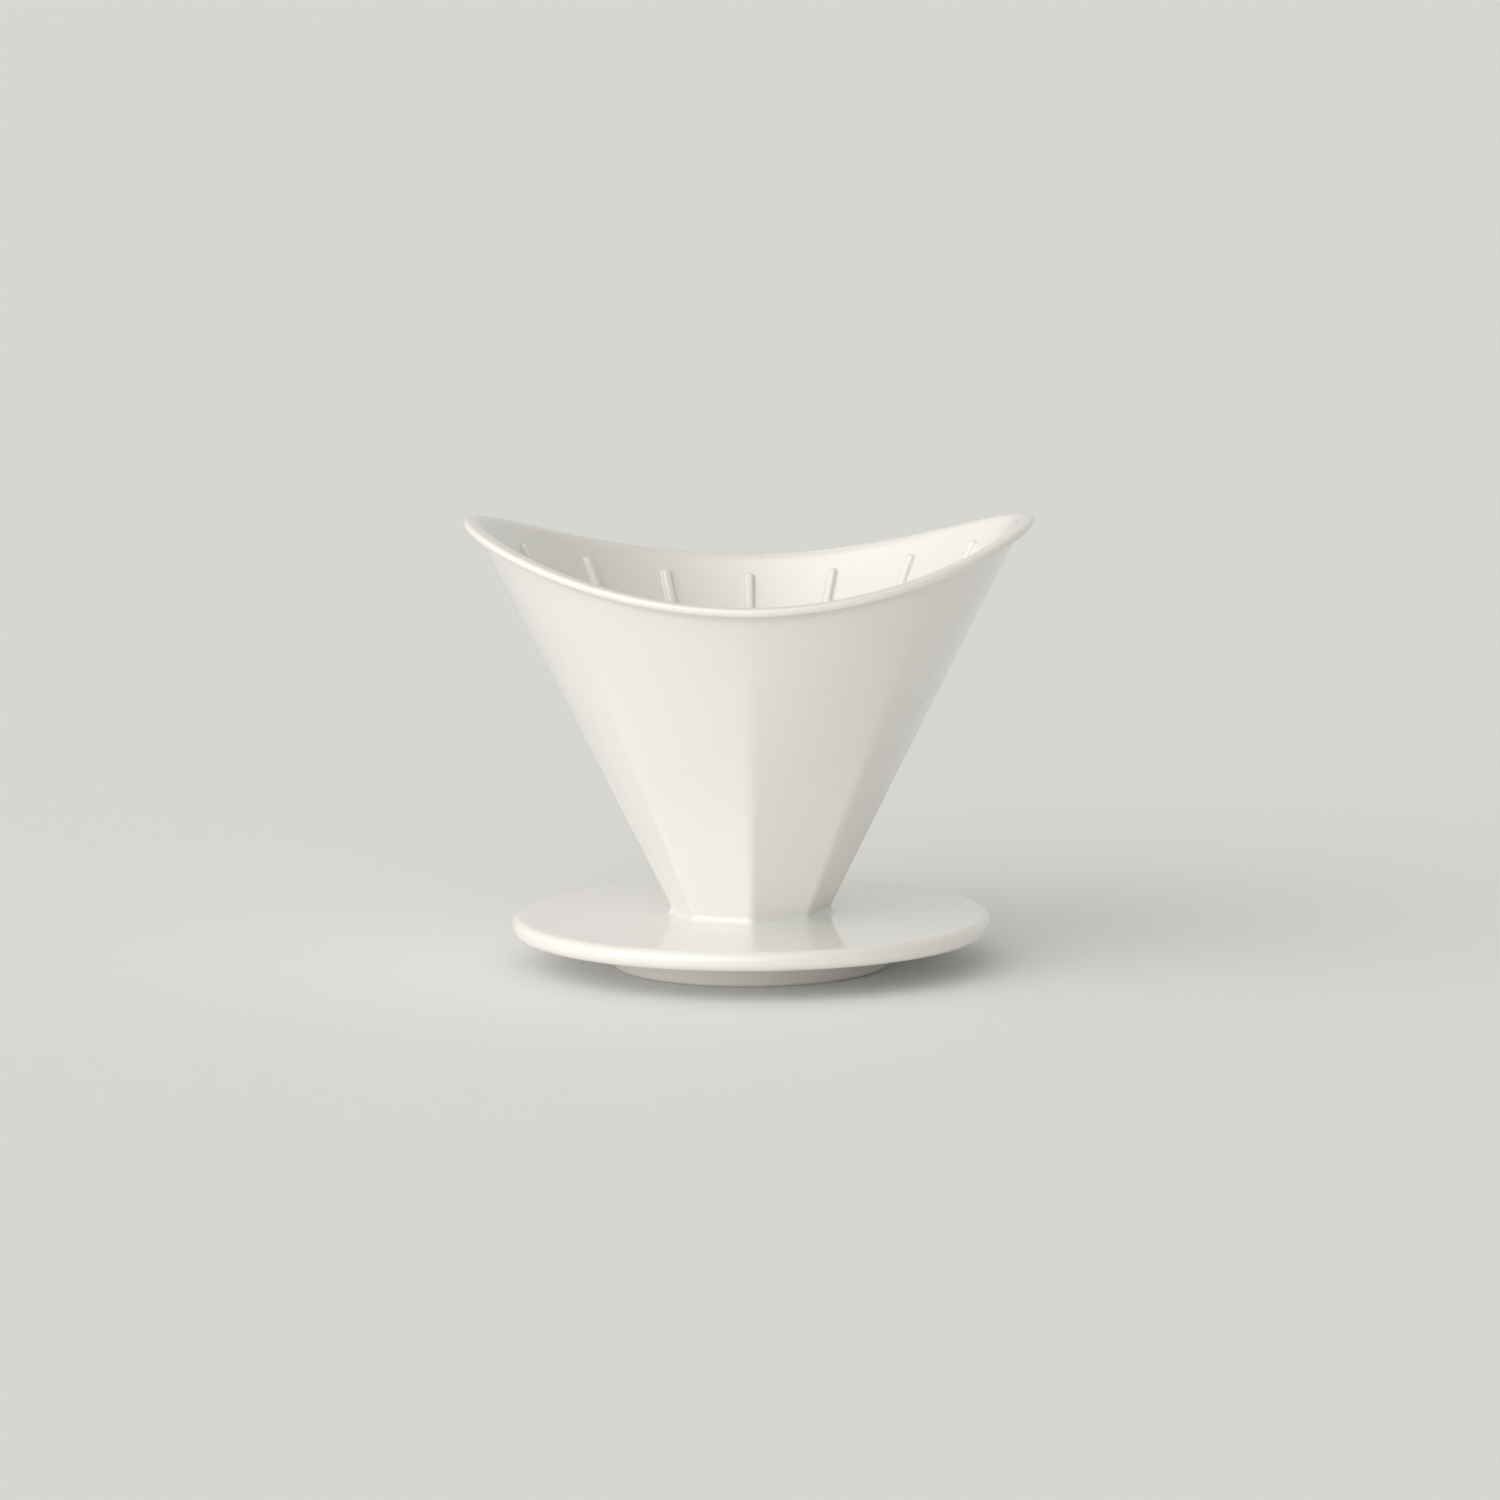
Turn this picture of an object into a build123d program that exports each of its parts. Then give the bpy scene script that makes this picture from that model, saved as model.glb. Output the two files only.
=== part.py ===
"""A porcelain pour over dripper for one or two cups, built from the clay parts it is joined from.

Millimetres, +Z up. The origin is the centre of the foot ring's resting face. The two high
points of the saddle-shaped rim lie on the X axis, and the two low points on the Y axis.

The cup is an octagonal cone that turns round towards the rim. Its inside is a plain cone
with a fan of ribs, which hold a paper filter off the wall so that the coffee can run down.
"""

import os
from math import cos, pi, sin, sqrt

from build123d import *

# ---- driving dimensions ----
FACET_COUNT = 8
RIB_COUNT = 16

PLATE_RADIUS = 52.5
PLATE_THICKNESS = 4.2
PLATE_EDGE_ROUND = 1.9
PLATE_TOP_Z = 11.3

FOOT_OUTER_RADIUS = 30.6
FOOT_INNER_RADIUS = 26.6
FOOT_EDGE_ROUND = 0.9
FOOT_HEIGHT = 6.6  # up to the pad under the plate that the ring is luted to
PAD_ROOT_FILLET = 0.4

WALL_SLOPE = 0.5  # radius gained per millimetre of height, along a corner of the octagon
NECK_CORNER_RADIUS = 16.9  # centre to corner, where the cone meets the plate
NECK_FILLET = 1.5
JOINT_Z = 14.0  # the cup is luted to the plate's neck here, just above the fillet

ROUND_FROM_Z = 8.0  # the flat facets start to bulge here
ROUND_AT_Z = 98.0  # and from here up the cone is fully round
SECTION_COUNT = 7

OUTLET_RADIUS = 10.0
OUTLET_LAND_TOP_Z = 9.1
WALL_AT_RIM = 2.6  # measured level, at the low points of the rim

RIM_LOW_Z = 84.9  # crest height on the Y axis
RIM_RISE = 0.00376  # crest height gained per square millimetre of x
RIM_BLOCK_REACH = 80.0  # half the width of the block that trims bodies to the rim
LIP_JOINT_DROP = 4.0  # the lip piece starts this far under the crest
LIP_EDGE_THICKNESS = 1.8
LIP_EDGE_ROUND = 0.88  # nearly half of the thickness, so the edge is a full round
LIP_OVERHANG = 1.5  # how far the lip stands out from the outer wall's line
LIP_ROOT_DROP = 2.2  # the lip's underside meets the wall this far under the crest
LIP_ROOT_FILLET = 2.0
LIP_INNER_ROUND = 3.6  # large, so that the inside flares out into the lip
LIP_BLANK_DEPTH = 9.0  # the swept blank reaches past the joint and into the cavity
LIP_BLANK_REACH = 7.0
RIM_LINE_STEPS = 8
RIM_LINE_OVERRUN = 2

RIB_WIDTH = 1.9
RIB_REACH = 1.3  # how far a rib stands in from the wall, measured level
RIB_EDGE_ROUND = 0.7
RIB_END_ROUND = 1.0
RIB_TOP_DROP = 4.2  # the ribs end this far under the crest at the rim's low points
RIB_TOP_FOLLOW = 0.9  # and their tops climb this share of what the crest climbs

# ---- worked out ----
PLATE_UNDER_Z = PLATE_TOP_Z - PLATE_THICKNESS
CUP_TOP_Z = 105.0  # above the rim's highest point, trimmed away by the rim
HALF_FACET = pi / FACET_COUNT
RIM_INNER_RADIUS = NECK_CORNER_RADIUS + WALL_SLOPE * (RIM_LOW_Z - PLATE_TOP_Z) - WALL_AT_RIM
INNER_SLOPE = (RIM_INNER_RADIUS - OUTLET_RADIUS) / (RIM_LOW_Z - OUTLET_LAND_TOP_Z)


def outer_radius(z):
    """Centre to corner of the outer wall at a height."""
    return NECK_CORNER_RADIUS + WALL_SLOPE * (z - PLATE_TOP_Z)


def inner_radius(z):
    """Radius of the conical inside at a height."""
    return OUTLET_RADIUS + INNER_SLOPE * (z - OUTLET_LAND_TOP_Z)


def roundness(z):
    """0 where the outer wall is an octagon, 1 where it is a circle, eased at both ends."""
    t = min(max((z - ROUND_FROM_Z) / (ROUND_AT_Z - ROUND_FROM_Z), 0.0), 1.0)
    return t * t * (3 - 2 * t)


def polar(radius, angle):
    """A point in the XY plane."""
    return (radius * cos(angle), radius * sin(angle))


def crest_point(angle):
    """Where the outer wall's line reaches the rim's crest, at an angle from +X."""
    low = outer_radius(RIM_LOW_Z)
    bend = WALL_SLOPE * RIM_RISE * cos(angle) ** 2
    # radius = low + bend * radius**2, solved so that it also holds for a bend of zero
    radius = 2 * low / (1 + sqrt(1 - 4 * bend * low))
    x, y = polar(radius, angle)
    return (x, y, RIM_LOW_Z + RIM_RISE * x**2)


def octagon_section(z):
    """Closed outline of the outer wall at a height: eight arcs between the corners."""
    corner = outer_radius(z)
    middle = corner * (cos(HALF_FACET) + (1 - cos(HALF_FACET)) * roundness(z))
    with BuildSketch(Plane.XY.offset(z)) as section:
        with BuildLine():
            for i in range(FACET_COUNT):
                start = 2 * i * HALF_FACET
                ThreePointArc(
                    polar(corner, start),
                    polar(middle, start + HALF_FACET),
                    polar(corner, start + 2 * HALF_FACET),
                )
        make_face()
    return section.sketch


def below_rim(drop):
    """A block that fills everything lower than the rim's crest by the given drop."""
    reach = RIM_BLOCK_REACH
    side_z = RIM_LOW_Z + RIM_RISE * reach**2 - drop
    control_z = RIM_LOW_Z - RIM_RISE * reach**2 - drop
    with BuildPart() as block:
        with BuildSketch(Plane.XZ):
            with BuildLine():
                Bezier((-reach, side_z), (0, control_z), (reach, side_z))
                Polyline((reach, side_z), (reach, 0), (-reach, 0), (-reach, side_z))
            make_face()
        extrude(amount=reach, both=True)
    return block.part


def radial_plane(angle):
    """The upright plane through the Z axis at an angle from +X: local x is outward, local y is up."""
    outward = Vector(cos(angle), sin(angle), 0)
    return Plane(origin=(0, 0, 0), x_dir=outward, z_dir=outward.cross(Vector(0, 0, 1)))


# ---- bodies that several pieces are cut from ----
with BuildPart() as outer_cone:
    for step in range(SECTION_COUNT):
        add(octagon_section(PLATE_TOP_Z + (CUP_TOP_Z - PLATE_TOP_Z) * step / (SECTION_COUNT - 1)))
    loft()

with BuildPart() as cavity:
    with BuildSketch(Plane.XZ):
        with BuildLine():
            Polyline(
                (0, 0),
                (OUTLET_RADIUS, 0),
                (OUTLET_RADIUS, OUTLET_LAND_TOP_Z),
                (inner_radius(CUP_TOP_Z), CUP_TOP_Z),
                (0, CUP_TOP_Z),
                close=True,
            )
        make_face()
    revolve(axis=Axis.Z)

# ---- foot_ring: drops into the mouth of the cup or server below and keeps the dripper centred ----
with BuildPart() as foot_ring:
    with BuildSketch():
        Circle(FOOT_OUTER_RADIUS)
        Circle(FOOT_INNER_RADIUS, mode=Mode.SUBTRACT)
    extrude(amount=FOOT_HEIGHT)
    fillet(foot_ring.edges().group_by(Axis.Z)[0], FOOT_EDGE_ROUND)
foot_ring.part.label = "foot_ring"

# ---- base_plate: the saucer, with the outlet and the octagonal neck that the cup is luted to ----
with BuildPart() as base_plate:
    with BuildSketch(Plane.XY.offset(PLATE_UNDER_Z)):
        Circle(PLATE_RADIUS)
    extrude(amount=PLATE_THICKNESS)
    fillet(base_plate.edges(), PLATE_EDGE_ROUND)
    with BuildSketch(Plane.XY.offset(FOOT_HEIGHT)):
        Circle(FOOT_OUTER_RADIUS)
    extrude(amount=PLATE_TOP_Z - FOOT_HEIGHT)
    pad_root = base_plate.edges().filter_by(GeomType.CIRCLE).filter_by(
        lambda edge: abs(edge.radius - FOOT_OUTER_RADIUS) < PAD_ROOT_FILLET and edge.center().Z > FOOT_HEIGHT
    )
    fillet(pad_root, PAD_ROOT_FILLET)
    add(outer_cone.part)
    split(bisect_by=Plane.XY.offset(JOINT_Z), keep=Keep.BOTTOM)
    fillet(base_plate.edges().filter_by(GeomType.BSPLINE).group_by(Axis.Z)[0], NECK_FILLET)
    add(cavity.part, mode=Mode.SUBTRACT)
base_plate.part.label = "base_plate"

# ---- cone_wall: the cup, up to just under its lip ----
with BuildPart() as cone_wall:
    add(outer_cone.part)
    add(cavity.part, mode=Mode.SUBTRACT)
    split(bisect_by=Plane.XY.offset(JOINT_Z), keep=Keep.TOP)
    add(below_rim(LIP_JOINT_DROP), mode=Mode.INTERSECT)
cone_wall.part.label = "cone_wall"

# ---- rim_lip: the turned-out, full-round lip that follows the saddle-shaped rim ----
with BuildLine() as rim_line:
    # one quarter of the rim, run on at both ends so that it is cut square
    rim_steps = range(-RIM_LINE_OVERRUN, RIM_LINE_STEPS + RIM_LINE_OVERRUN + 1)
    Spline([crest_point(pi / 2 * i / RIM_LINE_STEPS) for i in rim_steps])

lip_start_tangent = rim_line.line % 0
lip_start_outward = Vector(lip_start_tangent.Y, -lip_start_tangent.X, 0)
lip_start_plane = Plane(
    origin=rim_line.line @ 0,
    x_dir=lip_start_outward,
    z_dir=lip_start_outward.cross(Vector(0, 0, 1)),
)

with BuildPart() as rim_lip:
    with BuildSketch(lip_start_plane) as lip_profile:
        with BuildLine():
            Polyline(
                (-LIP_BLANK_REACH, -LIP_BLANK_DEPTH),
                (-LIP_BLANK_REACH, 0),
                (LIP_OVERHANG, 0),
                (LIP_OVERHANG, -LIP_EDGE_THICKNESS),
                (-WALL_SLOPE * LIP_ROOT_DROP, -LIP_ROOT_DROP),
                (-WALL_SLOPE * LIP_BLANK_DEPTH, -LIP_BLANK_DEPTH),
                close=True,
            )
        make_face()
        lip_root = lip_profile.vertices().sort_by(Axis.Y)[2]
        fillet(lip_root, LIP_ROOT_FILLET)
        fillet(lip_profile.vertices().group_by(Axis.X)[-1], LIP_EDGE_ROUND)
    sweep(path=rim_line.line, binormal=Edge.make_line((0, 0, 0), (0, 0, 1)))
    add(cavity.part, mode=Mode.SUBTRACT)
    inner_wall = rim_lip.faces().filter_by(GeomType.CONE)
    fillet(inner_wall.edges().sort_by(SortBy.LENGTH)[-1], LIP_INNER_ROUND)
    split(bisect_by=Plane.XZ, keep=Keep.BOTTOM)
    split(bisect_by=Plane.YZ, keep=Keep.TOP)
    add(below_rim(LIP_JOINT_DROP), mode=Mode.SUBTRACT)
    mirror(about=Plane.XZ)
    mirror(about=Plane.YZ)
rim_lip.part.label = "rim_lip"

# ---- filter_ribs: straight fins on the inside, from the outlet up to just under the lip ----
with BuildPart() as filter_ribs:
    for i in range(RIB_COUNT):
        rib_angle = 2 * pi * i / RIB_COUNT
        crest_climb = crest_point(rib_angle)[2] - RIM_LOW_Z
        top_z = RIM_LOW_Z - RIB_TOP_DROP + RIB_TOP_FOLLOW * crest_climb
        bend_z = OUTLET_LAND_TOP_Z + RIB_REACH / INNER_SLOPE
        with BuildSketch(radial_plane(rib_angle)) as rib_profile:
            with BuildLine():
                Polyline(
                    (OUTLET_RADIUS, OUTLET_LAND_TOP_Z),
                    (OUTLET_RADIUS, bend_z),
                    (inner_radius(top_z) - RIB_REACH, top_z),
                    (inner_radius(top_z) + RIB_REACH, top_z),
                    (OUTLET_RADIUS + RIB_REACH, OUTLET_LAND_TOP_Z),
                    close=True,
                )
            make_face()
            fillet(rib_profile.vertices().sort_by(Axis.Y)[-2:].sort_by(Axis.X)[0], RIB_END_ROUND)
        extrude(amount=RIB_WIDTH / 2, both=True)
    add(cavity.part, mode=Mode.INTERSECT)
    straight_edges = filter_ribs.edges().filter_by(GeomType.LINE)
    fillet(straight_edges.filter_by(lambda edge: edge.length > RIM_LOW_Z / 2), RIB_EDGE_ROUND)
filter_ribs.part.label = "filter_ribs"

os.makedirs("parts", exist_ok=True)
export_step(foot_ring.part, "parts/foot_ring.step")
export_step(base_plate.part, "parts/base_plate.step")
export_step(cone_wall.part, "parts/cone_wall.step")
export_step(rim_lip.part, "parts/rim_lip.step")
export_step(filter_ribs.part, "parts/filter_ribs.step")
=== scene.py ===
"""The looks of the porcelain pour over dripper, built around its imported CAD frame.

Metres, +Z up, in the CAD frame. Each of the five CAD nodes is replaced by one closed mesh of
the same shape, with what the plain CAD leaves out: softened corners on the octagon, ribs that
run into the wall with a fillet, and a glaze.
"""

from math import atan, atan2, cos, pi, radians, sin, tan

import bpy
import numpy as np
from mathutils import Euler, Matrix, Vector


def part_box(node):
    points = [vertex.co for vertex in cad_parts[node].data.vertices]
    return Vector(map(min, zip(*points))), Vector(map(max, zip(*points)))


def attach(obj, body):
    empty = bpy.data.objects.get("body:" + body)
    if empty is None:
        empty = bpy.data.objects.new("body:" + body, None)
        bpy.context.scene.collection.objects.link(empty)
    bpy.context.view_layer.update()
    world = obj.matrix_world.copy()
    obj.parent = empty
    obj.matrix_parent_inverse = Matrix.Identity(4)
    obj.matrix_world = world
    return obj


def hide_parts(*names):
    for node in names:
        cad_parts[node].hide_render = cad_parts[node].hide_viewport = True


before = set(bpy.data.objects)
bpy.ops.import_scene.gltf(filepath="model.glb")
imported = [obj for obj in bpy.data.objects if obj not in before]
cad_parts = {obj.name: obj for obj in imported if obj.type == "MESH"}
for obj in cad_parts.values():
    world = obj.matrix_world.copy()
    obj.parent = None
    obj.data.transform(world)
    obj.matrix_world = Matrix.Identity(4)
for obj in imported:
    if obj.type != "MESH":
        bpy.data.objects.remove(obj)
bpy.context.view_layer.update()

MM = 0.001

# ---- sizes that the frame gives ----
foot_low, foot_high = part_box("foot_ring")
plate_low, plate_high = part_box("base_plate")

FOOT_OUTER_RADIUS = foot_high.x
FOOT_HEIGHT = foot_high.z
PLATE_RADIUS = plate_high.x
JOINT_Z = plate_high.z

# ---- sizes that the CAD is drawn from ----
FACET_COUNT = 8
RIB_COUNT = 16
PLATE_TOP_Z = 11.3 * MM
PLATE_UNDER_Z = PLATE_TOP_Z - 4.2 * MM
PLATE_EDGE_ROUND = 1.9 * MM
FOOT_INNER_RADIUS = 26.6 * MM
FOOT_EDGE_ROUND = 0.9 * MM
WALL_SLOPE = 0.5
NECK_CORNER_RADIUS = 16.9 * MM
NECK_FILLET = 1.5 * MM
ROUND_FROM_Z = 8.0 * MM
ROUND_AT_Z = 98.0 * MM
OUTLET_RADIUS = 10.0 * MM
OUTLET_LAND_TOP_Z = 9.1 * MM
WALL_AT_RIM = 2.6 * MM
RIM_LOW_Z = 84.9 * MM
RIM_RISE = 0.00376 / MM
LIP_JOINT_DROP = 4.0 * MM
LIP_EDGE_THICKNESS = 1.8 * MM
LIP_OVERHANG = 1.5 * MM
LIP_ROOT_DROP = 2.2 * MM
LIP_ROOT_FILLET = 2.0 * MM
LIP_INNER_ROUND = 3.6 * MM
RIB_WIDTH = 1.9 * MM
RIB_HEIGHT = 1.14 * MM
RIB_TOP_DROP = 4.2 * MM
RIB_TOP_FOLLOW = 0.9

# ---- softening that only the looks have ----
CORNER_SOFTNESS = 0.05  # how far each side of a corner the flat faces start to turn, as a share of the radius
RIB_FOOT_FILLET = 0.6 * MM
RIB_CROWN_ROUND = 0.65 * MM
RIB_DRAFT = radians(8)
RIB_END_LENGTH = 0.9 * MM
RIB_END_CLOSING = 0.95  # share of the rounded end that is drawn before its cap
RIB_START_RISE = 0.3 * MM
RIB_SINK = 0.02 * MM  # the ribs' feathered feet lie this far under the wall's surface
RIB_ROOT_DEPTH = 0.3 * MM
FOOT_ROOT_FILLET = 0.8 * MM
SEAT_ROOT_SHARE = 0.98  # of the step between the plate's underside and its pad
OUTLET_EDGE_ROUND = 0.6 * MM
THROAT_ROUND = 3.0 * MM
FULL_ROUND = 0.49  # radius of a full round as a share of the thickness, short of half so that no run vanishes
OUTSIDE_SHARE = 0.3  # what is further out than this share of the wall follows the facets

# ---- the glaze ----
BODY_WHITE = (0.90, 0.885, 0.85)
CLOUD_WHITE = (0.89, 0.878, 0.835)  # faint clouds in the clay, seen through the glaze
CLOUD_SCALE = 40.0  # 1/m
CLOUD_SPREAD = 0.15  # a spread is how far each side of its middle the noise is used
THIN_WHITE = (0.92, 0.895, 0.845)  # the creamier body shows where the glaze is thin
THIN_SHARE = 0.6
THIN_ON_CORNERS = 0.8
POOLED_WHITE = (0.82, 0.835, 0.795)  # a thick pool of clear glaze is faintly green
POOLED_SHARE = 0.45
GLAZE_FLOW_PASSES = 3  # smooths the step from thin to pooled glaze
BODY_ROUGHNESS = (0.3, 0.4)
DULL_SCALE = 120.0  # 1/m
DULL_SPREAD = 0.2
GLAZE_IOR = 1.5
COAT_ROUGHNESS = 0.045
BODY_RELIEF = 0.4  # how much of the glaze's relief the body under it shows
WAVE_SCALE = 60.0  # 1/m, the slow waves that bend what the glaze mirrors
WAVE_HEIGHT = 0.03 * MM
PEEL_SCALE = 700.0  # 1/m, the fine dimpling like orange peel
PEEL_HEIGHT = 0.0008 * MM
PIT_SCALE = 90.0  # 1/m, one pinhole in the glaze for each cell about 11 mm across
PIT_RADIUS = 0.016  # as a share of a cell
PIT_BOTTOM = 0.4  # share of its radius that is its bottom
PIT_COLOUR = (0.62, 0.58, 0.5)
PIT_SHARE = 0.35
PIT_DEPTH = 0.02 * MM

# ---- the unglazed foot ----
BARE_FOOT_TOP = 0.1 * MM  # faces lower than this are wiped clean of glaze
BARE_LIGHT = (0.83, 0.80, 0.74)
BARE_DARK = (0.78, 0.745, 0.68)
BARE_ROUGHNESS = (0.7, 0.9)
GRAIN_SCALE = 2500.0  # 1/m
GRAIN_DETAIL = 4.0
GRAIN_COLOUR_SPREAD = 0.15
GRAIN_DULL_SPREAD = 0.2
GRAIN_DEPTH = 0.01 * MM

# ---- camera and surroundings ----
CAMERA_TARGET = (-0.05 * MM, 0, 47.35 * MM)
CAMERA_DISTANCE = 1.408
CAMERA_SENSOR = 36.0
CAMERA_LENS = 154.4
CAMERA_REACH = 100.0
CAMERA_TILT = radians(8.02)
CAMERA_ROLL = radians(0.34)
FLOOR_REACH = 20.0
FLOOR_WHITE = (0.9, 0.9, 0.9)
FLOOR_ROUGHNESS = 0.9
GLOW_FOCUS = 3.0  # the higher, the narrower each glow
STUDIO_GLOWS = (  # azimuth from +X and elevation in degrees, and colour times strength
    (225, 12, (2.48, 2.44, 2.40)),
    (135, 12, (0.80, 0.77, 0.70)),
    (90, 12, (0.14, 0.14, 0.16)),
    (45, 12, (0.66, 0.66, 0.62)),
    (0, 50, (0.11, 0.11, 0.10)),
    (270, 50, (0.59, 0.60, 0.56)),
)

# how far apart the two faces' lines are where a softened corner starts, as a share of the radius
CORNER_BLEND = 2 * tan(pi / FACET_COUNT) * CORNER_SOFTNESS

AROUND = 512  # mesh columns around the axis, a multiple of FACET_COUNT and RIB_COUNT
SHARP_ANGLE = radians(30)

angles = np.arange(AROUND) * 2 * pi / AROUND


# ---- the shape's formulas ----
def corner_radius(z):
    """Centre to corner of the outer wall at a height."""
    return NECK_CORNER_RADIUS + WALL_SLOPE * (z - PLATE_TOP_Z)


RIM_INNER_RADIUS = corner_radius(RIM_LOW_Z) - WALL_AT_RIM
INNER_SLOPE = (RIM_INNER_RADIUS - OUTLET_RADIUS) / (RIM_LOW_Z - OUTLET_LAND_TOP_Z)
INNER_TILT = atan(INNER_SLOPE)


def inner_radius(z):
    """Radius of the conical inside at a height."""
    return OUTLET_RADIUS + INNER_SLOPE * (z - OUTLET_LAND_TOP_Z)


def roundness(z):
    """0 where the outer wall is an octagon, 1 where it is a circle, eased at both ends."""
    t = np.clip((z - ROUND_FROM_Z) / (ROUND_AT_Z - ROUND_FROM_Z), 0, 1)
    return t * t * (3 - 2 * t)


def face_lines(angle):
    """Centre to the two nearest flat faces' lines at an angle, as shares of centre to corner."""
    step = 2 * pi / FACET_COUNT
    off_corner = np.abs((angle + step / 2) % step - step / 2)
    apothem = cos(step / 2)
    return apothem / np.cos(step / 2 - off_corner), apothem / np.cos(step / 2 + off_corner)


def corner_closeness(angle):
    """1 on a corner of the octagon, falling to 0 where the flat face starts."""
    this_face, next_face = face_lines(angle)
    return np.clip(1 - (next_face - this_face) / CORNER_BLEND, 0, 1)


def octagon(angle):
    """Centre to outline of an octagon with softened corners, as a share of centre to corner."""
    return face_lines(angle)[0] - corner_closeness(angle) ** 2 * CORNER_BLEND / 4


def wall_radius(angle, z):
    """Radius of the outer wall."""
    return corner_radius(z) * (1 - (1 - roundness(z)) * (1 - octagon(angle)))


def rim_cut(angle, drop, radius_at, slope):
    """Radius and height where a conical wall reaches the rim's saddle surface, lowered by drop."""
    low = radius_at(RIM_LOW_Z - drop)
    bend = slope * RIM_RISE * np.cos(angle) ** 2
    radius = 2 * low / (1 + np.sqrt(1 - 4 * bend * low))
    return radius, RIM_LOW_Z - drop + RIM_RISE * (radius * np.cos(angle)) ** 2


# ---- outlines in the upright plane: each piece is (r, z, glaze), with glaze 1 thin and -1 pooled ----
UP, DOWN, OUT, IN = pi / 2, -pi / 2, 0.0, pi  # headings


def ramp(first, last, count):
    """Evenly spaced numbers down a column. The ends may be numbers or rows of numbers."""
    return first + (last - first) * np.linspace(0, 1, count)[:, None]


def line(start, end, between, glaze=0.0):
    """The points between two (r, z) ends, without the ends themselves."""
    inside = slice(1, -1)
    return ramp(start[0], end[0], between + 2)[inside], ramp(start[1], end[1], between + 2)[inside], glaze


def point(r, z):
    """One row of the outline."""
    return ramp(r, r, 1), ramp(z, z, 1), 0.0


def rounded_corner(r, z, heading, turn, radius, count, glaze=0.0):
    """The arc that rounds a corner at (r, z), where the outline turns left by turn, or right if below 0."""
    side = np.sign(np.mean(turn))
    reach = radius * np.abs(np.tan(turn / 2))
    centre_r = r - reach * np.cos(heading) - side * radius * np.sin(heading)
    centre_z = z - reach * np.sin(heading) + side * radius * np.cos(heading)
    around = ramp(heading, heading + turn, count) - side * pi / 2
    return centre_r + radius * np.cos(around), centre_z + radius * np.sin(around), glaze


def first(piece):
    """The (r, z) where an outline piece starts."""
    return piece[0][0], piece[1][0]


def last(piece):
    """The (r, z) where an outline piece ends."""
    return piece[0][-1], piece[1][-1]


def joined(*pieces):
    """Outline pieces joined with straight runs of a few points: radius, height and glaze rows."""
    rows = [[], [], []]
    for piece in pieces:
        for row, part in zip(rows, piece):
            row.append(np.broadcast_to(part, (len(piece[0]), AROUND)))
    radius, height, glaze = [np.vstack(row) for row in rows]
    for _ in range(GLAZE_FLOW_PASSES):
        glaze = (np.roll(glaze, 1, 0) + 2 * glaze + np.roll(glaze, -1, 0)) / 4
    return radius, height, glaze


# ---- mesh building ----
def make_object(name, node, points, faces, glaze):
    """A smooth-shaded mesh piece that stands for its CAD node, with its crisp edges kept crisp."""
    mesh = bpy.data.meshes.new(name)
    mesh.from_pydata(points, [], faces)
    mesh.shade_smooth()
    mesh.set_sharp_from_angle(angle=SHARP_ANGLE)
    attribute = mesh.attributes.new("glaze", "FLOAT", "POINT")
    attribute.data.foreach_set("value", np.ascontiguousarray(glaze, np.float32).ravel())
    piece = bpy.data.objects.new(name, mesh)
    bpy.context.scene.collection.objects.link(piece)
    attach(piece, "root")
    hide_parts(node)
    return piece


def grid_faces(rows, columns):
    """Quads of a grid that closes on itself both ways."""
    row, col = np.meshgrid(np.arange(rows), np.arange(columns), indexing="ij")
    next_row = (row + 1) % rows
    next_col = (col + 1) % columns
    corners = [(row, col), (row, next_col), (next_row, next_col), (next_row, col)]
    return np.stack([(r * columns + c).ravel() for r, c in corners], 1).tolist()


def ring_object(name, node, radius, height, glaze):
    """A closed ring. At each angle its outline runs up the outside and down the inside."""
    points = np.stack([radius * np.cos(angles), radius * np.sin(angles), height], 2).reshape(-1, 3)
    return make_object(name, node, points.tolist(), grid_faces(*radius.shape), glaze)


# ---- the pieces ----
def make_foot_ring():
    """The ring under the plate, with a flat foot between two rounded edges."""
    root = rounded_corner(FOOT_INNER_RADIUS, FOOT_HEIGHT, OUT, DOWN, FOOT_ROOT_FILLET, 8, -1)
    inner_foot = rounded_corner(FOOT_INNER_RADIUS, 0, DOWN, UP, FOOT_EDGE_ROUND, 9, 1)
    outer_foot = rounded_corner(FOOT_OUTER_RADIUS, 0, OUT, UP, FOOT_EDGE_ROUND, 9, 1)
    top = point(FOOT_OUTER_RADIUS, FOOT_HEIGHT)
    return ring_object("foot_ring_body", "foot_ring", *joined(
        root,
        line(last(root), first(inner_foot), 4),
        inner_foot,
        line(last(inner_foot), first(outer_foot), 3),
        outer_foot,
        line(last(outer_foot), first(top), 6),
        top,
    ))


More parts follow.
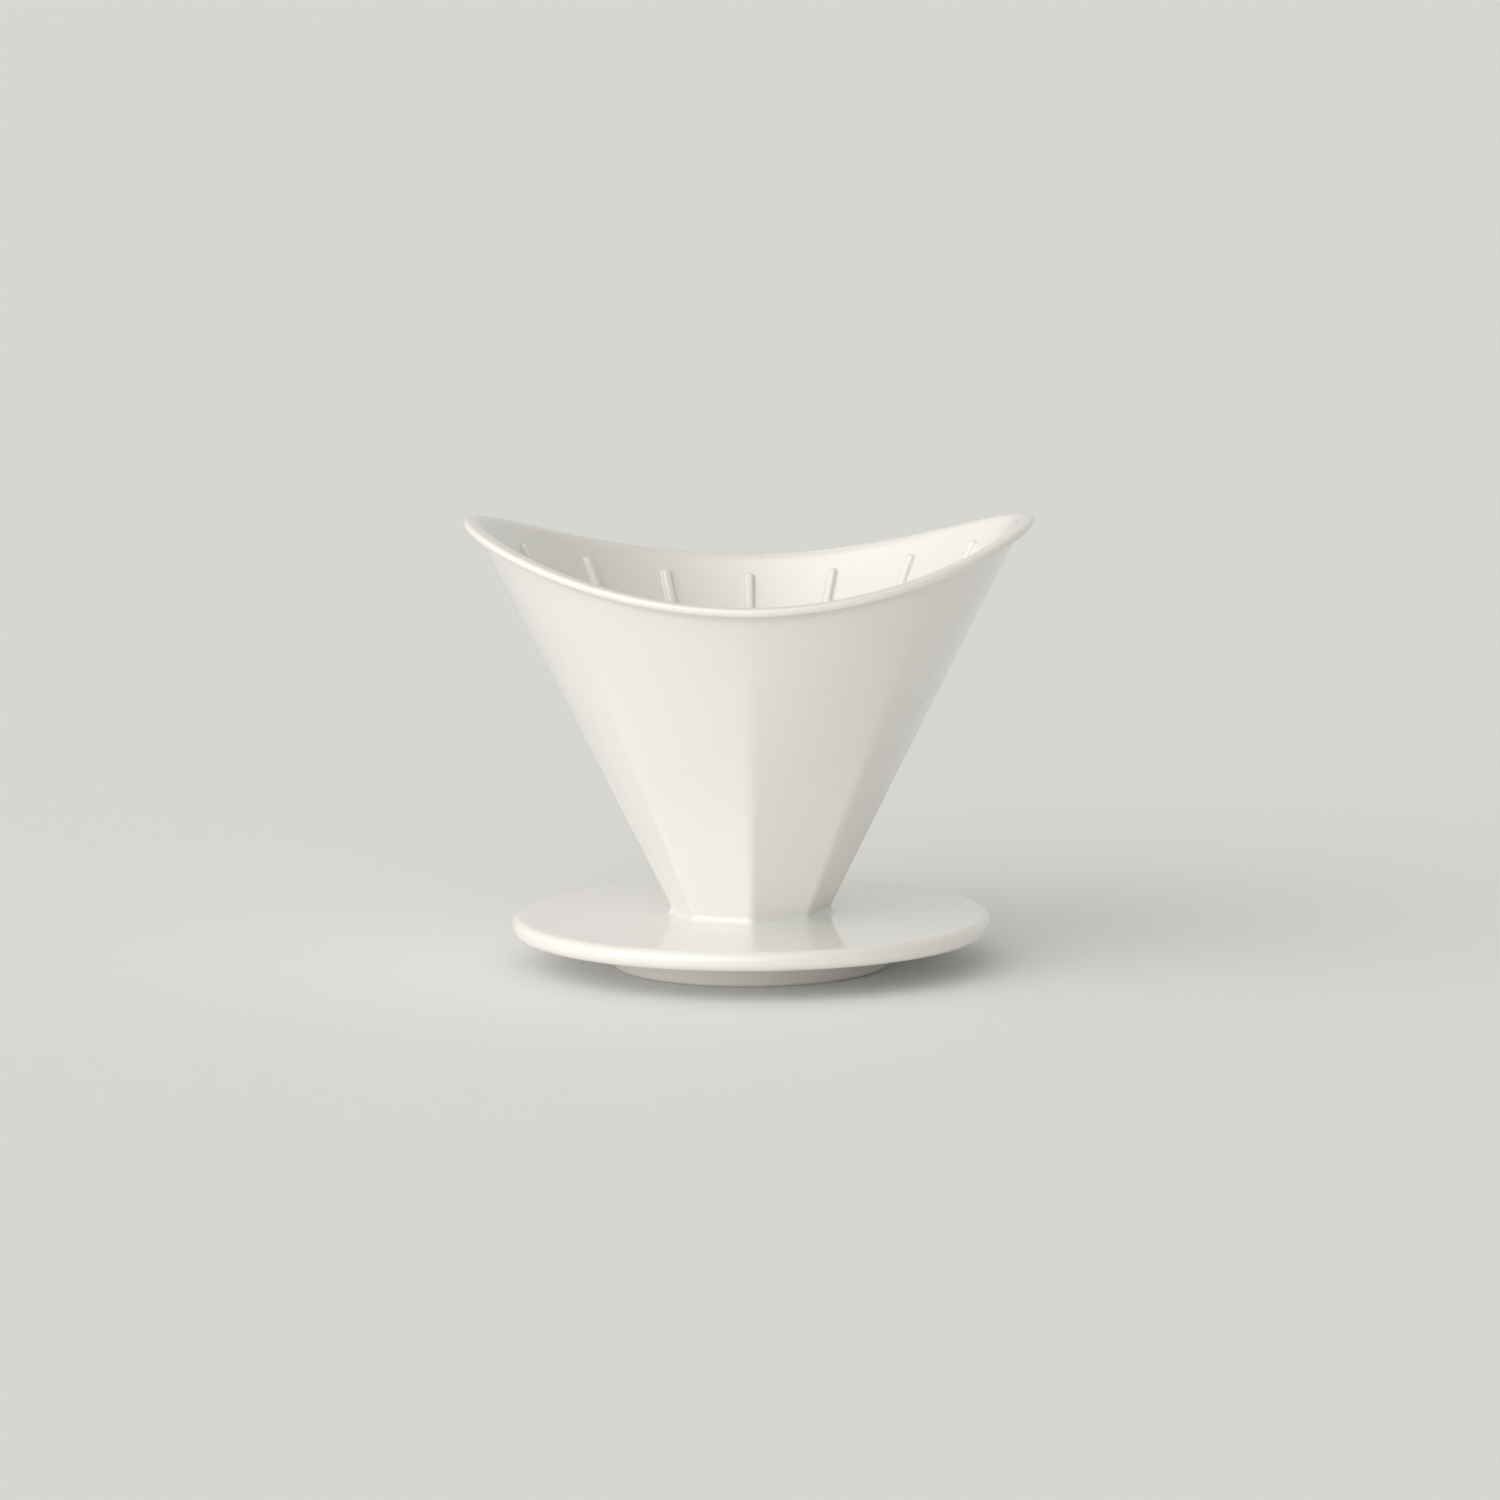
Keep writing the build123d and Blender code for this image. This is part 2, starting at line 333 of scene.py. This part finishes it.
def make_base_plate():
    """The plate with its outlet, and the octagonal neck up to the joint with the cup."""
    neck_radius = wall_radius(angles, PLATE_TOP_Z)
    neck_gain = wall_radius(angles, JOINT_Z) - neck_radius
    neck_heading = np.arctan2(JOINT_Z - PLATE_TOP_Z, neck_gain)
    seat_step = PLATE_UNDER_Z - FOOT_HEIGHT
    outlet_lip = rounded_corner(OUTLET_RADIUS, FOOT_HEIGHT, DOWN, UP, OUTLET_EDGE_ROUND, 6, 1)
    pad = point(FOOT_OUTER_RADIUS, FOOT_HEIGHT)
    seat_root = rounded_corner(FOOT_OUTER_RADIUS, PLATE_UNDER_Z, UP, DOWN, SEAT_ROOT_SHARE * seat_step, 6, -1)
    under_edge = rounded_corner(PLATE_RADIUS, PLATE_UNDER_Z, OUT, UP, PLATE_EDGE_ROUND, 14, 0.6)
    upper_edge = rounded_corner(PLATE_RADIUS, PLATE_TOP_Z, UP, UP, PLATE_EDGE_ROUND, 14, 1)
    neck_root = rounded_corner(neck_radius, PLATE_TOP_Z, IN, neck_heading - IN, NECK_FILLET, 14, -1)
    neck_top = point(wall_radius(angles, JOINT_Z), JOINT_Z)
    cone_start = point(inner_radius(JOINT_Z), JOINT_Z)
    throat = rounded_corner(OUTLET_RADIUS, OUTLET_LAND_TOP_Z, DOWN - INNER_TILT, INNER_TILT, THROAT_ROUND, 6)
    return ring_object("base_plate_body", "base_plate", *joined(
        outlet_lip,
        line(last(outlet_lip), first(pad), 10),
        pad,
        seat_root,
        line(last(seat_root), first(under_edge), 8),
        under_edge,
        upper_edge,
        line(last(upper_edge), first(neck_root), 16),
        neck_root,
        line(last(neck_root), first(neck_top), 2),
        neck_top,
        cone_start,
        line(last(cone_start), first(throat), 4),
        throat,
    ))


def make_cone_wall():
    """The cup's wall, from the joint with the neck up to the joint with the lip."""
    top_radius, top_z = rim_cut(angles, LIP_JOINT_DROP, corner_radius, WALL_SLOPE)
    mouth_radius, mouth_z = rim_cut(angles, LIP_JOINT_DROP, inner_radius, INNER_SLOPE)
    outer_z = ramp(JOINT_Z, top_z, 120)
    inner_z = ramp(mouth_z, JOINT_Z, 60)
    thin = THIN_ON_CORNERS * corner_closeness(angles) * (1 - roundness(outer_z))
    return ring_object("cone_wall_body", "cone_wall", *joined(
        (wall_radius(angles, outer_z), outer_z, thin),
        (inner_radius(inner_z), inner_z, 0.0),
    ))


def make_rim_lip():
    """The lip: up the outside, out under the bead, round it, over the crest and down the inside."""
    crest_radius, crest_z = rim_cut(angles, 0, corner_radius, WALL_SLOPE)
    joint_radius, joint_z = rim_cut(angles, LIP_JOINT_DROP, corner_radius, WALL_SLOPE)
    mouth_radius, mouth_z = rim_cut(angles, LIP_JOINT_DROP, inner_radius, INNER_SLOPE)
    wall_heading = atan2(1, WALL_SLOPE)
    root_r = crest_radius - WALL_SLOPE * LIP_ROOT_DROP
    root_z = crest_z - LIP_ROOT_DROP
    bead_r = crest_radius + LIP_OVERHANG
    bead_z = crest_z - LIP_EDGE_THICKNESS
    under_heading = atan2(LIP_ROOT_DROP - LIP_EDGE_THICKNESS, LIP_OVERHANG + WALL_SLOPE * LIP_ROOT_DROP)
    round_radius = FULL_ROUND * LIP_EDGE_THICKNESS
    joint = point(joint_radius, joint_z)
    root = rounded_corner(root_r, root_z, wall_heading, under_heading - wall_heading, LIP_ROOT_FILLET, 12, -1)
    lower_bead = rounded_corner(bead_r, bead_z, under_heading, UP - under_heading, round_radius, 12, 0.6)
    upper_bead = rounded_corner(bead_r, crest_z, UP, UP, round_radius, 14, 1)
    inner_edge_r = inner_radius(crest_z)
    inner_round = rounded_corner(inner_edge_r, crest_z, IN, UP - INNER_TILT, LIP_INNER_ROUND, 14, 0.8)
    mouth = point(mouth_radius, mouth_z)
    radius, height, glaze = joined(
        joint,
        line(last(joint), first(root), 3),
        root,
        line(last(root), first(lower_bead), 4),
        lower_bead,
        upper_bead,
        line(last(upper_bead), first(inner_round), 5),
        inner_round,
        line(last(inner_round), first(mouth), 6),
        mouth,
    )
    outside = radius > inner_radius(height) + OUTSIDE_SHARE * WALL_AT_RIM
    facets = wall_radius(angles, height) / corner_radius(height)
    return ring_object("rim_lip_body", "rim_lip", np.where(outside, radius * facets, radius), height, glaze)


def rib_outline():
    """Cross-section of a rib over the wall: x across, h off the wall, and glaze, from +x over to -x."""
    half_foot = RIB_WIDTH / 2 + RIB_HEIGHT / 2 * tan(RIB_DRAFT)
    half_crown = RIB_WIDTH / 2 - RIB_HEIGHT / 2 * tan(RIB_DRAFT)
    turn = UP - RIB_DRAFT
    corners = [
        rounded_corner(half_foot, 0, IN, -turn, RIB_FOOT_FILLET, 6, -0.8),
        rounded_corner(half_crown, RIB_HEIGHT, UP + RIB_DRAFT, turn, RIB_CROWN_ROUND, 7, 1),
        rounded_corner(-half_crown, RIB_HEIGHT, IN, turn, RIB_CROWN_ROUND, 7, 1),
        rounded_corner(-half_foot, 0, DOWN - RIB_DRAFT, -turn, RIB_FOOT_FILLET, 6, -0.8),
    ]
    x = np.concatenate([corner[0].ravel() for corner in corners])
    h = np.concatenate([corner[1].ravel() for corner in corners])
    glaze = np.concatenate([np.full(len(corner[0]), corner[2]) for corner in corners])
    return x, h, glaze


def make_filter_ribs():
    """Sixteen ribs on the inside, each a closed solid that runs out to nothing at its feet and ends."""
    across, off_wall, glaze_across = rib_outline()
    # two more points under the wall's surface close the outline
    across = np.append(across, [across[-1], across[0]])
    off_wall = np.append(off_wall - RIB_SINK, [-RIB_ROOT_DEPTH, -RIB_ROOT_DEPTH])
    glaze_across = np.append(glaze_across, [-1, -1])
    loop = len(across)
    points, faces, glaze = [], [], []
    for rib in range(RIB_COUNT):
        rib_angle = 2 * pi * rib / RIB_COUNT
        crest_climb = rim_cut(rib_angle, 0, corner_radius, WALL_SLOPE)[1] - RIM_LOW_Z
        top_z = RIM_LOW_Z - RIB_TOP_DROP + RIB_TOP_FOLLOW * crest_climb
        end_z = top_z - RIB_END_LENGTH * cos(INNER_TILT)
        start_z = OUTLET_LAND_TOP_Z + RIB_START_RISE
        round_end = np.sin(np.linspace(0, 1, 10) * pi / 2 * RIB_END_CLOSING)
        z = np.concatenate([np.linspace(start_z, end_z, 70), end_z + (top_z - end_z) * round_end[1:]])
        past_end = np.clip((z - end_z) / (top_z - end_z), 0, 1)
        fullness = np.sqrt(1 - past_end**2)
        room = (inner_radius(z) - OUTLET_RADIUS) / cos(INNER_TILT) / RIB_HEIGHT
        rise = fullness * np.minimum(1, room)
        wall_r = inner_radius(z)[:, None]
        turn = rib_angle + across * fullness[:, None] / wall_r
        lift = np.where(off_wall > 0, off_wall * rise[:, None], off_wall)
        radius = wall_r - lift * cos(INNER_TILT)
        height = z[:, None] + lift * sin(INNER_TILT)
        base = len(points)
        points += np.stack([radius * np.cos(turn), radius * np.sin(turn), height], 2).reshape(-1, 3).tolist()
        glaze.append(np.broadcast_to(glaze_across, radius.shape))
        for k in range(len(z) - 1):
            for i in range(loop):
                j = (i + 1) % loop
                here = base + k * loop
                faces.append((here + i, here + j, here + loop + j, here + loop + i))
        faces.append(tuple(base + i for i in reversed(range(loop))))
        faces.append(tuple(base + (len(z) - 1) * loop + i for i in range(loop)))
    return make_object("filter_ribs_body", "filter_ribs", points, faces, np.concatenate(glaze))


# ---- materials ----
def new_material(name):
    """A material with an empty node tree, its output, and its Principled shader."""
    material = bpy.data.materials.new(name)
    material.use_nodes = True
    nodes = material.node_tree.nodes
    nodes.clear()
    output = nodes.new("ShaderNodeOutputMaterial")
    shader = nodes.new("ShaderNodeBsdfPrincipled")
    material.node_tree.links.new(shader.outputs["BSDF"], output.inputs["Surface"])
    return material, shader


def feed(owner, socket, value):
    """Link another node's output to a socket, or set the socket to a constant."""
    if isinstance(value, bpy.types.NodeSocket):
        owner.node_tree.links.new(value, socket)
    else:
        socket.default_value = value


def add_node(owner, kind, **inputs):
    """A node of a material or world, with some of its inputs fed by name."""
    node = owner.node_tree.nodes.new(kind)
    for name, value in inputs.items():
        feed(owner, node.inputs[name.replace("_", " ")], value)
    return node


def add_math(owner, operation, *values, vector=False):
    """A Math node, or a Vector Math node, fed in order. Returns its output."""
    node = owner.node_tree.nodes.new("ShaderNodeVectorMath" if vector else "ShaderNodeMath")
    node.operation = operation
    for socket, value in zip(node.inputs, values):
        feed(owner, socket, value)
    return node.outputs["Value" if operation == "DOT_PRODUCT" else 0]


def ease(owner, value, low, high, start, end):
    """Map a number smoothly from low..high to start..end, and hold it at both ends."""
    node = owner.node_tree.nodes.new("ShaderNodeMapRange")
    node.interpolation_type = "SMOOTHSTEP"
    for socket, number in zip(node.inputs, (value, low, high, start, end)):
        feed(owner, socket, number)
    return node.outputs["Result"]


def tinted(owner, colour, share, tint):
    """Blend a share of a tint into a colour."""
    node = owner.node_tree.nodes.new("ShaderNodeMix")
    node.data_type = "RGBA"
    feed(owner, node.inputs[0], share)
    feed(owner, node.inputs[6], colour)
    feed(owner, node.inputs[7], tint)
    return node.outputs[2]


def noise(owner, place, scale, detail=2.0):
    """Smooth noise from about 0.25 to 0.75, with features about 1/scale across."""
    return add_node(owner, "ShaderNodeTexNoise", Vector=place, Scale=scale, Detail=detail).outputs["Fac"]


def patches(owner, waves, spread, start=0.0, end=1.0):
    """Noise made into patches of start and end, which blend across a spread each side of its middle."""
    return ease(owner, waves, 0.5 - spread, 0.5 + spread, start, end)


def raised(owner, height, strength=1.0, distance=1.0):
    """A surface normal bent by a height."""
    bump = add_node(owner, "ShaderNodeBump", Height=height, Distance=distance, Strength=strength)
    return bump.outputs["Normal"]


def make_glaze():
    """Warm white porcelain under a clear gloss glaze, which is thin on the edges and pools in the corners."""
    material, shader = new_material("glazed_porcelain")
    place = add_node(material, "ShaderNodeTexCoord").outputs["Object"]
    thickness = add_node(material, "ShaderNodeAttribute")
    thickness.attribute_name = "glaze"
    thin = ease(material, thickness.outputs["Fac"], 0.0, 1.0, 0.0, 1.0)
    pooled = ease(material, thickness.outputs["Fac"], 0.0, -1.0, 0.0, 1.0)

    cloud = patches(material, noise(material, place, CLOUD_SCALE), CLOUD_SPREAD)
    colour = tinted(material, (*BODY_WHITE, 1), cloud, (*CLOUD_WHITE, 1))
    colour = tinted(material, colour, add_math(material, "MULTIPLY", thin, THIN_SHARE), (*THIN_WHITE, 1))
    colour = tinted(material, colour, add_math(material, "MULTIPLY", pooled, POOLED_SHARE), (*POOLED_WHITE, 1))
    pits = add_node(material, "ShaderNodeTexVoronoi", Vector=place, Scale=PIT_SCALE)
    pit = ease(material, pits.outputs["Distance"], PIT_RADIUS, PIT_BOTTOM * PIT_RADIUS, 0.0, 1.0)
    colour = tinted(material, colour, add_math(material, "MULTIPLY", pit, PIT_SHARE), (*PIT_COLOUR, 1))
    feed(material, shader.inputs["Base Color"], colour)

    dull = patches(material, noise(material, place, DULL_SCALE), DULL_SPREAD, *BODY_ROUGHNESS)
    feed(material, shader.inputs["Roughness"], dull)
    shader.inputs["IOR"].default_value = GLAZE_IOR
    shader.inputs["Coat Weight"].default_value = 1.0
    shader.inputs["Coat Roughness"].default_value = COAT_ROUGHNESS
    shader.inputs["Coat IOR"].default_value = GLAZE_IOR

    waves = add_math(material, "MULTIPLY", noise(material, place, WAVE_SCALE), WAVE_HEIGHT)
    peel = add_math(material, "MULTIPLY", noise(material, place, PEEL_SCALE, 0.0), PEEL_HEIGHT)
    dimple = add_math(material, "MULTIPLY", pit, -PIT_DEPTH)
    relief = add_math(material, "ADD", add_math(material, "ADD", waves, peel), dimple)
    feed(material, shader.inputs["Coat Normal"], raised(material, relief))
    feed(material, shader.inputs["Normal"], raised(material, relief, BODY_RELIEF))
    return material


def make_bare_foot():
    """The wiped, unglazed face that the foot ring stands on in the kiln: dry, fine-grained porcelain."""
    material, shader = new_material("bare_porcelain")
    place = add_node(material, "ShaderNodeTexCoord").outputs["Object"]
    grain = noise(material, place, GRAIN_SCALE, GRAIN_DETAIL)
    dark = patches(material, grain, GRAIN_COLOUR_SPREAD)
    feed(material, shader.inputs["Base Color"], tinted(material, (*BARE_LIGHT, 1), dark, (*BARE_DARK, 1)))
    feed(material, shader.inputs["Roughness"], patches(material, grain, GRAIN_DULL_SPREAD, *BARE_ROUGHNESS))
    feed(material, shader.inputs["Normal"], raised(material, grain, distance=GRAIN_DEPTH))
    return material


def make_floor():
    """A plain pale floor, wide enough to fill the view."""
    material, shader = new_material("pale_floor")
    shader.inputs["Base Color"].default_value = (*FLOOR_WHITE, 1)
    shader.inputs["Roughness"].default_value = FLOOR_ROUGHNESS
    mesh = bpy.data.meshes.new("floor")
    corners = [(sx * FLOOR_REACH, sy * FLOOR_REACH, 0) for sx, sy in ((-1, -1), (1, -1), (1, 1), (-1, 1))]
    mesh.from_pydata(corners, [], [(0, 1, 2, 3)])
    mesh.materials.append(material)
    floor = bpy.data.objects.new("floor", mesh)
    bpy.context.scene.collection.objects.link(floor)


def make_camera():
    """The camera: a long lens in front of the object, a little above it and very slightly rolled."""
    camera_data = bpy.data.cameras.new("camera")
    camera_data.sensor_width = CAMERA_SENSOR
    camera_data.lens = CAMERA_LENS
    camera_data.clip_end = CAMERA_REACH
    camera = bpy.data.objects.new("camera", camera_data)
    back = Vector((0, -cos(CAMERA_TILT), sin(CAMERA_TILT)))
    level_right = Vector((1, 0, 0))
    level_up = back.cross(level_right)
    right = level_right * cos(CAMERA_ROLL) - level_up * sin(CAMERA_ROLL)
    up = level_right * sin(CAMERA_ROLL) + level_up * cos(CAMERA_ROLL)
    turn = Matrix((right, up, back)).transposed().to_4x4()
    camera.matrix_world = Matrix.Translation(Vector(CAMERA_TARGET) + back * CAMERA_DISTANCE) @ turn
    bpy.context.scene.collection.objects.link(camera)
    bpy.context.scene.camera = camera


def light_scene():
    """Soft studio light: a few broad glows in otherwise dark surroundings, with no hard edge to mirror."""
    world = bpy.data.worlds.new("studio")
    world.use_nodes = True
    background = world.node_tree.nodes["Background"]
    view = add_node(world, "ShaderNodeTexCoord").outputs["Generated"]
    light = (0, 0, 0)
    for azimuth, elevation, colour in STUDIO_GLOWS:
        towards = Vector((1, 0, 0))
        towards.rotate(Euler((0, -radians(elevation), radians(azimuth))))
        facing = add_math(world, "DOT_PRODUCT", view, towards, vector=True)
        glow = add_math(world, "POWER", add_math(world, "MAXIMUM", facing, 0.0), GLOW_FOCUS)
        light = add_math(world, "MULTIPLY_ADD", glow, colour, light, vector=True)
    world.node_tree.links.new(light, background.inputs["Color"])
    bpy.context.scene.world = world
    bpy.context.scene.view_settings.view_transform = "Standard"


glaze = make_glaze()
foot = make_foot_ring()
for piece in (foot, make_base_plate(), make_cone_wall(), make_rim_lip(), make_filter_ribs()):
    piece.data.materials.append(glaze)
foot.data.materials.append(make_bare_foot())
for face in foot.data.polygons:
    face.material_index = int(face.center.z < BARE_FOOT_TOP)

make_floor()
light_scene()
make_camera()
